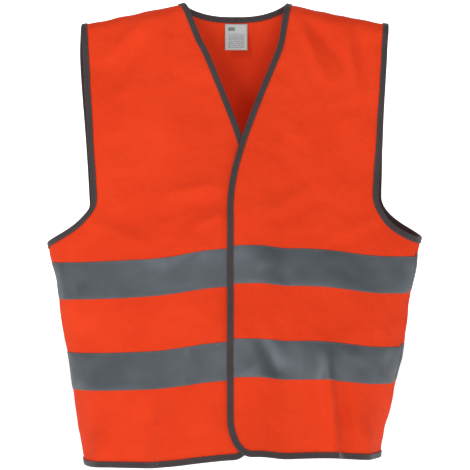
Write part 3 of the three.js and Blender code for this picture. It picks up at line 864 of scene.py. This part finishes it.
def new_finish(name, **values):
    """A material with one surface shader; values set the shader's own sockets."""
    material = bpy.data.materials.new(name)
    material.use_nodes = True
    tree = material.node_tree
    tree.nodes.clear()
    inputs = {key.replace("_", " "): value for key, value in values.items()}
    shader = node(tree, "ShaderNodeBsdfPrincipled", inputs)
    node(tree, "ShaderNodeOutputMaterial", {"Surface": shader.outputs[0]})
    return material, tree, shader


def object_place(tree):
    return node(tree, "ShaderNodeTexCoord").outputs["Object"]


def weave_place(tree):
    return node(tree, "ShaderNodeUVMap", uv_map=WEAVE).outputs[0]


def noise(tree, place, scale, detail=3.0, roughness=0.5):
    return node(tree, "ShaderNodeTexNoise",
                {"Vector": place, "Scale": scale, "Detail": detail, "Roughness": roughness}).outputs["Fac"]


WAVE_SPAN = 0.31416  # a wave texture of scale 1 repeats at this distance


def ribs(tree, place, direction, pitch, distortion=0.0):
    return node(tree, "ShaderNodeTexWave",
                {"Vector": place, "Scale": WAVE_SPAN / pitch, "Distortion": distortion},
                bands_direction=direction).outputs["Fac"]


def calculated(tree, operation, first, second=0.0, third=0.0):
    return node(tree, "ShaderNodeMath", {0: first, 1: second, 2: third}, operation=operation).outputs[0]


def blended(tree, factor, first, second):
    mix = node(tree, "ShaderNodeMix", {"Factor": factor}, data_type="RGBA")
    for socket, value in zip([item for item in mix.inputs if item.type == "RGBA"], (first, second)):
        if isinstance(value, bpy.types.NodeSocket):
            tree.links.new(value, socket)
        else:
            socket.default_value = value
    return next(item for item in mix.outputs if item.type == "RGBA")


def ranged(tree, value, low, high, start, end):
    return node(tree, "ShaderNodeMapRange",
                {"Value": value, "From Min": low, "From Max": high, "To Min": start, "To Max": end}).outputs[0]


def embossed(tree, height, distance, strength=1.0, below=None):
    inputs = {"Height": height, "Distance": distance, "Strength": strength}
    if below is not None:
        inputs["Normal"] = below
    return node(tree, "ShaderNodeBump", inputs).outputs[0]


def shell_finish():
    """Warp-knitted polyester: fine wales and courses, a soft crumple and a faint change of depth."""
    colours = palette()
    material, tree, shader = new_finish(
        "fluorescent shell", Roughness=0.8, Specular_IOR_Level=0.12, Sheen_Weight=0.08, Sheen_Roughness=0.45,
        Sheen_Tint=(1.0, 0.22, 0.08, 1.0))
    place, weave = object_place(tree), weave_place(tree)
    wales = ribs(tree, weave, "X", 0.9 * MM)
    courses = ribs(tree, weave, "Y", 0.75 * MM)
    knit = calculated(tree, "MULTIPLY", wales, courses)
    crumple = noise(tree, place, 55.0, 4.0, 0.55)
    crumpled = embossed(tree, crumple, 2.4 * MM, 0.8)
    tree.links.new(embossed(tree, knit, 0.12 * MM, 0.6, crumpled), shader.inputs["Normal"])
    depth = ranged(tree, noise(tree, place, 11.0, 3.0), 0.3, 0.7, 0.0, 0.7)
    mottled = calculated(tree, "MULTIPLY_ADD", knit, -0.3, calculated(tree, "ADD", depth, 0.3))
    tree.links.new(blended(tree, mottled, opaque(colours.shell), opaque(colours.shell_deep)),
                   shader.inputs["Base Color"])
    return material


def tape_finish():
    """Reflective tape: a matt grey film of fine glass beads on cloth, faintly creased and rubbed."""
    colours = palette()
    material, tree, shader = new_finish(
        "reflective tape", Metallic=0.6, Specular_IOR_Level=0.3)
    place, weave = object_place(tree), weave_place(tree)
    beads = node(tree, "ShaderNodeTexVoronoi", {"Vector": weave, "Scale": 2600.0}).outputs["Distance"]
    creases = noise(tree, place, 34.0, 5.0, 0.6)
    backing = ribs(tree, weave, "X", 0.6 * MM)
    creased = embossed(tree, creases, 0.7 * MM, 0.5)
    woven = embossed(tree, backing, 0.05 * MM, 0.5, creased)
    tree.links.new(embossed(tree, beads, 0.05 * MM, 0.6, woven), shader.inputs["Normal"])
    rubbed = ranged(tree, noise(tree, place, 26.0, 4.0), 0.35, 0.7, 0.0, 1.0)
    light = tuple(min(1.0, 1.22 * part) for part in colours.tape)
    tree.links.new(blended(tree, rubbed, opaque(colours.tape), opaque(light)), shader.inputs["Base Color"])
    tree.links.new(ranged(tree, rubbed, 0.0, 1.0, 0.52, 0.42), shader.inputs["Roughness"])
    return material


def woven_finish(name, colour, pitch, relief, roughness=0.75, sheen=0.25):
    """Ribbed narrow weave for bindings and strips: ribs across the strip, threads along it."""
    material, tree, shader = new_finish(
        name, Roughness=roughness, Specular_IOR_Level=0.3, Sheen_Weight=sheen, Sheen_Roughness=0.4)
    weave = weave_place(tree)
    grain = calculated(tree, "MULTIPLY", ribs(tree, weave, "X", pitch), ribs(tree, weave, "Y", 0.6 * pitch))
    uneven = noise(tree, object_place(tree), 90.0, 3.0)
    tree.links.new(embossed(tree, grain, relief, 0.7, embossed(tree, uneven, 0.5 * MM, 0.4)),
                   shader.inputs["Normal"])
    dark = tuple(0.68 * part for part in colour)
    light = tuple(1.25 * part for part in colour)
    shade = calculated(tree, "MULTIPLY_ADD", uneven, 0.6, calculated(tree, "MULTIPLY", grain, 0.55))
    tree.links.new(blended(tree, shade, opaque(dark), opaque(light)), shader.inputs["Base Color"])
    return material


def thread_finish(name, colour):
    """Spun sewing thread: a fine twist that catches the light."""
    material, tree, shader = new_finish(name, Roughness=0.55, Specular_IOR_Level=0.4, Sheen_Weight=0.15)
    twist = node(tree, "ShaderNodeTexWave",
                 {"Vector": object_place(tree), "Scale": WAVE_SPAN / (0.35 * MM)}, bands_direction="DIAGONAL")
    tree.links.new(embossed(tree, twist.outputs["Fac"], 0.04 * MM, 0.6), shader.inputs["Normal"])
    light = tuple(min(1.0, 1.3 * part) for part in colour)
    yarn = blended(tree, twist.outputs["Fac"], opaque(colour), opaque(light))
    tree.links.new(yarn, shader.inputs["Base Color"])
    return material


def label_finish(low, high):
    """Pale satin with generic printed marks: a bold bar at the top left and rows of short dashes below."""
    colours = palette()
    material, tree, shader = new_finish("printed satin", Roughness=0.42, Specular_IOR_Level=0.5)
    from_corner = {"Vector": object_place(tree), "Location": tuple(-corner for corner in low)}
    place = node(tree, "ShaderNodeMapping", from_corner, vector_type="POINT").outputs[0]
    axes = node(tree, "ShaderNodeSeparateXYZ", {0: place}).outputs
    width, height = high[0] - low[0], high[2] - low[2]
    across = calculated(tree, "DIVIDE", axes["X"], width)
    up = calculated(tree, "DIVIDE", axes["Z"], height)

    def window(value, start, end):
        inside = calculated(tree, "GREATER_THAN", value, start)
        return calculated(tree, "MULTIPLY", inside, calculated(tree, "LESS_THAN", value, end))

    lines = calculated(tree, "GREATER_THAN", ribs(tree, place, "Z", height / 13), 0.34)
    patchy = node(tree, "ShaderNodeTexNoise", {"Vector": node(tree, "ShaderNodeMapping", {
        "Vector": place, "Scale": (700.0, 0.0, 330.0)}).outputs[0], "Scale": 1.0, "Detail": 0.0})
    dashes = calculated(tree, "GREATER_THAN", patchy.outputs["Fac"], 0.4)
    block = calculated(tree, "MULTIPLY", window(across, 0.14, 0.86), window(up, 0.08, 0.64))
    small = calculated(tree, "MULTIPLY", calculated(tree, "MULTIPLY", lines, dashes), block)
    bold = calculated(tree, "MULTIPLY", window(across, 0.14, 0.44), window(up, 0.74, 0.88))
    ink = calculated(tree, "MAXIMUM", calculated(tree, "MULTIPLY", small, 0.7), bold)
    printed = blended(tree, ink, opaque(colours.label), opaque(colours.print_ink))
    tree.links.new(printed, shader.inputs["Base Color"])
    satin = ribs(tree, weave_place(tree), "X", 0.3 * MM)
    tree.links.new(embossed(tree, satin, 0.03 * MM, 0.5), shader.inputs["Normal"])
    return material


def studio_finish(name, colour, glow=0.0):
    """Matt painted paper for the floor and the backdrop."""
    material, tree, shader = new_finish(
        name, Roughness=0.9, Specular_IOR_Level=0.1, Emission_Strength=glow, Emission_Color=opaque(colour))
    grain = noise(tree, object_place(tree), 3.0, 2.0)
    dim = tuple(0.985 * part for part in colour)
    tree.links.new(blended(tree, grain, opaque(dim), opaque(colour)), shader.inputs["Base Color"])
    return material


FINISHES = {
    "shell": shell_finish,
    "tape": tape_finish,
    "binding": lambda: woven_finish("edge binding", palette().binding, 0.8 * MM, 0.12 * MM),
    "seam": lambda: woven_finish("seam allowance", palette().shell_deep, 0.7 * MM, 0.08 * MM),
    "hook ground": lambda: woven_finish("hook tape ground", palette().hook, 0.5 * MM, 0.06 * MM),
    "loop ground": lambda: woven_finish("loop tape ground", palette().loop, 0.5 * MM, 0.06 * MM),
    "hooks": lambda: thread_finish("hooks", palette().hook),
    "loops": lambda: thread_finish("loops", palette().loop),
    "tape thread": lambda: thread_finish("tape thread", palette().tape_thread),
    "binding thread": lambda: thread_finish("binding thread", palette().binding_thread),
    "shell thread": lambda: thread_finish("shell thread", palette().shell),
}


def finish(name):
    """The finish of that name, made the first time it is asked for."""
    material = bpy.data.materials.get(FINISH_NAMES.get(name, ""))
    if material is None:
        material = FINISHES[name]()
        FINISH_NAMES[name] = material.name
    return material


FINISH_NAMES = {}


# ------------------------------------------------------------------ fold lines, bodies and hidden nodes
def joint(name):
    return next(row for row in frame["joints"] if row["name"] == name)


def fold_line(hand):
    row = joint(f"{hand}_front_fold")
    return Vector(row["pos_m"]), Vector(row["axis"]).normalized()


def turn_with_front(piece, hand):
    """Bakes the piece's placement into its mesh; the front's fold line and the direction across it are worked out
    but not used.
    """
    spot, axis = fold_line(hand)
    toward = Vector((-HANDS[hand] * math.cos(FOLD_LEAN), -math.sin(FOLD_LEAN), 0.0))
    toward = (toward - axis * toward.dot(axis)).normalized()
    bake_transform(piece)


def hem_split(shape, hand):
    """Where a front's binding meets the hem's, just outside the fold."""
    spot, axis = fold_line(hand)
    return spot.x + axis.x * (shape.hem - spot.z) / axis.z + HANDS[hand] * HEM_SPLIT


def place_piece(piece, body, nodes=()):
    """Attaches a piece to its body, or bakes the placement of a front's piece, and hides the engineering nodes it
    stands for.
    """
    if body in HANDS:
        turn_with_front(piece, body)
    else:
        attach(piece, body)
    if nodes:
        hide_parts(*nodes)


# ------------------------------------------------------------------ the pieces
def seam_tuck(shape, places):
    """How far the cloth turns in beside the shoulder seams and the side seams."""
    angle, run = places
    z = shape.base(angle, run)[..., 2]
    shoulder = 1.0 - smooth(np.abs(run), 0.0, TUCK_WIDTH)
    turns = [np.abs(np.remainder(angle - shape.seam_angle(side) + math.pi, 2 * math.pi) - math.pi)
             for side in (LEFT, RIGHT)]
    beside = 1.0 - smooth(np.minimum(*turns) * shape.girth_rate(angle, run), 0.0, TUCK_WIDTH)
    below = smooth(shape.armpit - z, -0.010, 0.0)
    return SEAM_TUCK * np.maximum(shoulder, beside * below)


class VEST_OT_panels(bpy.types.Operator):
    """Hangs the back and the two fronts of the shell"""

    bl_idname = "vest.panels"
    bl_label = "Shell panels"

    def execute(self, context):
        shape = cloth()
        step = shape.cut.cloth_step
        self.panel("back_cloth", back_panel_places(shape, step), "root", ("back_panel",), False)
        for hand, side in HANDS.items():
            nodes = (f"{hand}_front_panel", f"{hand}_front_flap")
            self.panel(f"{hand}_front_cloth", front_panel_places(shape, side, step), hand, nodes, side == LEFT)
        return {"FINISHED"}

    def panel(self, name, places, body, nodes, lifted):
        shape = cloth()
        high = -seam_tuck(shape, places)
        piece, cut = layer(name, shape, places, high - SHELL_THICKNESS, high, finish("shell"), lifted)
        place_piece(piece, body, nodes)


# A band's section: shares of its width from its upper edge, and its height over the cloth in mm.
BAND_SECTION = (
    (0.0, 0.40), (0.010, 0.60), (0.030, 0.46), (0.050, 0.62), (0.10, 0.80), (0.2, 0.88), (0.3, 0.9), (0.4, 0.9),
    (0.5, 0.9), (0.6, 0.9), (0.7, 0.9), (0.8, 0.88), (0.90, 0.80), (0.950, 0.62), (0.970, 0.46), (0.990, 0.60),
    (1.0, 0.40),
)
BAND_BASE = 0.12  # height of its underside
BAND_SEAMS = (0.030, 0.970)  # shares of its width at which it is sewn down
BAND_THREAD = 0.56  # height of that thread
BACK_BAND_RISE = 4 * MM  # the back's bands meet the left front's this much too high, as they were sewn


def band_places(shape, band, body, shares):
    top, bottom = shape.bands[band]
    levels = top + (bottom - top) * np.array(shares)
    step = shape.cut.cloth_step
    if body == "root":
        across = np.linspace(-1.0, 1.0, int(2.2 * shape.cut.chest_half / step))
        rise = BACK_BAND_RISE * smooth(across, 0.4, 1.0)
        z = levels[:, None] + rise
        angle = BACK - np.where(across > 0, across * shape.outer_turn(z, LEFT, True),
                                across * shape.outer_turn(z, RIGHT, True))
        return angle, shape.at_level(angle, z)
    return front_places(shape, HANDS[body], levels, int(1.1 * shape.cut.chest_half / step))


class VEST_OT_bands(bpy.types.Operator):
    """Lays the reflective bands on the back and the fronts"""

    bl_idname = "vest.bands"
    bl_label = "Reflective bands"

    def execute(self, context):
        shape = cloth()
        shares, heights = zip(*BAND_SECTION)
        for band in shape.bands:
            for body in ("root", *HANDS):
                places = band_places(shape, band, body, shares)
                tuck = 0.8 * seam_tuck(shape, places)
                high = np.array(heights)[:, None] * MM - tuck
                owner = "back" if body == "root" else body
                nodes = [f"{owner}_{band}_tape"] + ([f"{owner}_{band}_tape_flap"] if body in HANDS else [])
                piece, cut = layer(f"{owner}_{band}_band", shape, places, BAND_BASE * MM - tuck, high,
                                   finish("tape"), body == "left")
                place_piece(piece, body, nodes)
        return {"FINISHED"}


BINDING_STEP = 2.4 * MM


def edges():
    """Each binding's name with its edge, its body and the engineering nodes it stands for."""
    shape = cloth()
    rows = {}
    neck = back_neck_path(shape, BINDING_STEP)
    middle = len(neck[0]) // 2
    halves = {"right": tuple(part[:middle + 1] for part in neck), "left": tuple(part[middle:] for part in neck)}
    for hand, side in HANDS.items():
        front = front_edge_path(shape, side, hem_split(shape, hand), BINDING_STEP)
        back = halves[hand] if side == LEFT else reversed_path(halves[hand])
        nodes = ("left_edge_binding", "neck_binding") if side == LEFT else ("right_edge_binding",)
        rows[f"{hand}_front_tape"] = (
            Edge(shape, joined(back, front), side, lifted=side == LEFT), hand, nodes)
        rows[f"{hand}_armhole_tape"] = (
            Edge(shape, armhole_path(shape, side, BINDING_STEP), -side, closed=True), "root",
            (f"{hand}_armhole_binding",))
    splits = {side: hem_split(shape, hand) for hand, side in HANDS.items()}
    rows["hem_tape"] = (Edge(shape, hem_path(shape, splits, BINDING_STEP), -1), "root", ("hem_binding",))
    return rows


class VEST_OT_bindings(bpy.types.Operator):
    """Folds the binding over the neck and front edges, the armholes and the hem"""

    bl_idname = "vest.bindings"
    bl_label = "Bindings"

    def execute(self, context):
        for name, (edge, body, nodes) in edges().items():
            piece, cut = binding(name, edge, finish("binding"))
            place_piece(piece, body, nodes)
        return {"FINISHED"}


SEAM_HALF_WIDTH = 6.0 * MM
SEAM_HEIGHTS = (-2.9 * MM, -2.15 * MM)  # of the seam allowance's inner and outer face
OVERLOCK_PITCH = 2.2 * MM


def side_seam_places(shape, side, across, step):
    z = np.arange(shape.armpit - 7 * MM, shape.hem + 7 * MM, -step)[:, None]
    seam = shape.seam_angle(side) + 0.0 * z
    angle = seam + np.asarray(across) * SEAM_HALF_WIDTH / shape.girth_rate(seam, shape.at_level(seam, z))
    return angle, shape.at_level(angle, z)


def shoulder_seam_places(shape, side, across, step):
    cut = shape.cut
    x = side * np.arange(cut.neck_half + 7 * MM, cut.shoulder_half - 7 * MM, step)[:, None]
    run = np.asarray(across) * SEAM_HALF_WIDTH + 0.0 * x
    return shoulder_angle(shape, x) + 0.0 * run, run


class VEST_OT_seams(bpy.types.Operator):
    """Presses the overlocked seam allowances of the sides and the shoulders flat inside"""

    bl_idname = "vest.seams"
    bl_label = "Seams"

    def execute(self, context):
        shape = cloth()
        tree = bpy.data.node_groups.get("Thread") or thread_tree()
        kinds = {"side_seam": side_seam_places, "shoulder_seam": shoulder_seam_places}
        low, high = SEAM_HEIGHTS
        for kind, places in kinds.items():
            for hand, side in HANDS.items():
                grid = places(shape, side, np.linspace(-1, 1, 7), shape.cut.cloth_step)
                piece, cut = layer(f"{hand}_{kind}_allowance", shape, grid, low, high, finish("seam"))
                place_piece(piece, "root", (f"{hand}_{kind}",))
                angle, run = places(shape, side, (-0.92, 0.92), OVERLOCK_PITCH / 2)
                turn = np.arange(len(angle)) % 2
                index = np.arange(len(angle))
                line = shape.at(angle[index, turn], run[index, turn], low - 0.12 * MM)
                lines = polylines([(line, False)])
                thread = grown(f"{hand}_{kind}_overlock", *lines, tree, finish("shell thread"))
                place_piece(thread, "root")
        return {"FINISHED"}


PATCH_GROUND = 0.65 * MM
PILE_PITCH = 1.3 * MM


class VEST_OT_closure(bpy.types.Operator):
    """Sews the hook patches inside the left front and the loop patches on the right one"""

    bl_idname = "vest.closure"
    bl_label = "Hook and loop closure"

    def execute(self, context):
        for level in ("upper", "lower"):
            self.patch(f"{level}_hook_patch", "left", "hook", -1)
            self.patch(f"{level}_loop_patch", "right", "loop", 1)
        return {"FINISHED"}

    def places(self, shape, low, high, pitch):
        x = np.linspace(low.x, high.x, int((high.x - low.x) / pitch) + 1)
        z = np.linspace(high.z, low.z, int((high.z - low.z) / pitch) + 1)[:, None]
        angle = np.arcsin(x / shape.half_width(z))
        return angle, shape.at_level(angle, z)

    def patch(self, name, hand, kind, out):
        """Out is 1 for a patch on the outer face of its front and -1 for one on the inner face."""
        shape = cloth()
        low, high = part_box(name)
        lifted = hand == "left"
        face = 0.1 * MM if out > 0 else -SHELL_THICKNESS - 0.1 * MM
        top = face + out * PATCH_GROUND
        places = self.places(shape, low, high, 2.2 * MM)
        ground, cut = layer(f"{name}_ground", shape, places, min(face, top), max(face, top),
                            finish(f"{kind} ground"), lifted)
        place_piece(ground, hand, (name,))
        inset = Vector((1.5 * MM, 0.0, 1.5 * MM))
        angle, run = self.places(shape, low + inset, high - inset, PILE_PITCH)
        base = shape.at(angle, run, top, lifted).reshape(-1, 3)
        facing = out * shape.normal(angle, run).reshape(-1, 3)
        arc = math.radians(125 if kind == "hook" else 180)
        tree = bpy.data.node_groups.get(f"{kind} pile") or pile_tree(f"{kind} pile", arc, 0.5 * MM)
        pile = grown(f"{name}_pile", base, [], tree, finish(f"{kind}s"), facing)
        place_piece(pile, hand)


class VEST_OT_label(bpy.types.Operator):
    """Hangs the size label inside the back of the neck"""

    bl_idname = "vest.label"
    bl_label = "Size label"

    def execute(self, context):
        low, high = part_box("size_label")
        x = np.linspace(low.x, high.x, 13)
        z = np.linspace(high.z, low.z, 15)[:, None]
        share = (high.z - z) / (high.z - low.z)
        bow = 0.7 * MM * np.sin(share * math.pi) - 0.9 * MM * share * np.cos((x - x[0]) / (x[-1] - x[0]) * math.pi)
        y = (low.y + high.y) / 2 + bow
        top = np.stack(np.broadcast_arrays(x, y, z), axis=-1)
        piece = slab("neck_label", top, top + (0.0, 0.22 * MM, 0.0), (0.0, -1.0, 0.0), label_finish(low, high))
        place_piece(piece, "label", ("size_label",))
        return {"FINISHED"}


def owner_name(body):
    return "back" if body == "root" else body


class VEST_OT_stitching(bpy.types.Operator):
    """Sews down the bands and the bindings"""

    bl_idname = "vest.stitching"
    bl_label = "Stitching"

    def execute(self, context):
        shape = cloth()
        pitch = shape.cut.stitch_length
        bound = {}
        for edge, body, _ in edges().values():
            for line in np.moveaxis(edge.sweep(BINDING_SEAMS), 1, 0):
                bound.setdefault(body, []).append((line, edge.closed))
        for body, lines in bound.items():
            thread = sewn(f"{owner_name(body)}_binding_stitches", lines, finish("binding thread"), pitch=pitch)
            place_piece(thread, body)
        for body in ("root", *HANDS):
            lines = []
            for band in shape.bands:
                angle, run = band_places(shape, band, body, BAND_SEAMS)
                spots = shape.at(angle, run, BAND_THREAD * MM, body == "left")
                lines += [(line, False) for line in spots]
            thread = sewn(f"{owner_name(body)}_band_stitches", lines, finish("tape thread"), pitch=pitch)
            place_piece(thread, body)
        return {"FINISHED"}


# ------------------------------------------------------------------ the studio
class VEST_OT_stage(bpy.types.Operator):
    """Sets up the floor, the backdrop, the lights and the camera"""

    bl_idname = "vest.stage"
    bl_label = "Studio"

    def execute(self, context):
        white = (0.93, 0.93, 0.93)
        low, high = CAD_BOX
        middle = (Vector(low) + Vector(high)) / 2
        floor_level = low[2] - 0.18
        around = np.linspace(0.0, 2 * math.pi, 65)[:-1]
        ring = np.stack([np.cos(around), np.sin(around), 0.0 * around], axis=-1) * 7.0
        ring[:, 2] = floor_level
        floor = new_piece("studio_floor", ring, [range(len(ring))], studio_finish("studio floor", white, 0.85))
        rings = [ring * (1.0, 1.0, 0.0) * math.cos(turn) + (0.0, 0.0, floor_level + 7.0 * math.sin(turn))
                 for turn in np.linspace(0.0, 0.49 * math.pi, 16)]
        dome = new_piece("studio_backdrop", np.concatenate(rings), self.dome_faces(len(rings), len(ring)),
                         studio_finish("studio backdrop", white, 1.0))
        dome.visible_diffuse = dome.visible_glossy = dome.visible_shadow = False
        self.light("key", (-1.7, -2.0, 1.6), middle, 0.6, 24.0)
        self.light("fill", (0.6, -3.4, -0.1), middle, 1.4, 25.0)
        self.light("behind", (0.2, 1.6, 1.6), middle, 1.6, 20.0)
        world = bpy.data.worlds.new("studio")
        world.use_nodes = True
        background = world.node_tree.nodes["Background"]
        background.inputs["Color"].default_value = (1.0, 1.0, 1.0, 1.0)
        background.inputs["Strength"].default_value = 0.29
        context.scene.world = world
        camera = bpy.data.cameras.new("camera")
        camera.lens, camera.sensor_width = 156.5, 36.0
        viewer = bpy.data.objects.new("camera", camera)
        viewer.location = (0.0, -2.8, -0.302)
        viewer.rotation_euler = (math.pi / 2, 0.0, 0.0)
        context.collection.objects.link(viewer)
        context.scene.camera = viewer
        context.scene.view_settings.view_transform = "Standard"
        return {"FINISHED"}

    def dome_faces(self, rings, size):
        """Quads that face the middle of the studio, and the cap over them."""
        rows = np.arange(rings * size).reshape(rings, size)
        rows = np.concatenate([rows, rows[:, :1]], axis=1)
        quads = np.stack([rows[:-1, :-1], rows[1:, :-1], rows[1:, 1:], rows[:-1, 1:]], axis=-1).reshape(-1, 4)
        return quads.tolist() + [rows[-1, :0:-1].tolist()]

    def light(self, name, spot, target, size, power):
        lamp = bpy.data.lights.new(name, "AREA")
        lamp.shape, lamp.size, lamp.energy = "DISK", size, power
        holder = bpy.data.objects.new(name, lamp)
        holder.location = spot
        holder.rotation_euler = (target - Vector(spot)).to_track_quat("-Z", "Y").to_euler()
        bpy.context.collection.objects.link(holder)


# ------------------------------------------------------------------ the add-on
OPERATORS = (VEST_OT_stage, VEST_OT_panels, VEST_OT_bands, VEST_OT_bindings, VEST_OT_seams, VEST_OT_closure,
             VEST_OT_label, VEST_OT_stitching)


class VEST_PT_sidebar(bpy.types.Panel):
    """Sizes, colours and making of the vest"""

    bl_label = "High Visibility Vest"
    bl_space_type = "VIEW_3D"
    bl_region_type = "UI"
    bl_category = "Vest"

    def draw(self, context):
        for group in (context.scene.vest_cut, context.scene.vest_colours):
            column = self.layout.box().column()
            for name in group.__annotations__:
                column.prop(group, name)
        for operator in OPERATORS:
            self.layout.operator(operator.bl_idname)


CLASSES = (VestCut, VestColours, *OPERATORS, VEST_PT_sidebar)


def register():
    for item in CLASSES:
        bpy.utils.register_class(item)
    bpy.types.Scene.vest_cut = PointerProperty(type=VestCut)
    bpy.types.Scene.vest_colours = PointerProperty(type=VestColours)


def unregister():
    del bpy.types.Scene.vest_cut, bpy.types.Scene.vest_colours
    for item in reversed(CLASSES):
        bpy.utils.unregister_class(item)


def main():
    register()
    for operator in OPERATORS:
        group, name = operator.bl_idname.split(".")
        getattr(getattr(bpy.ops, group), name)()


if __name__ == "__main__":
    main()
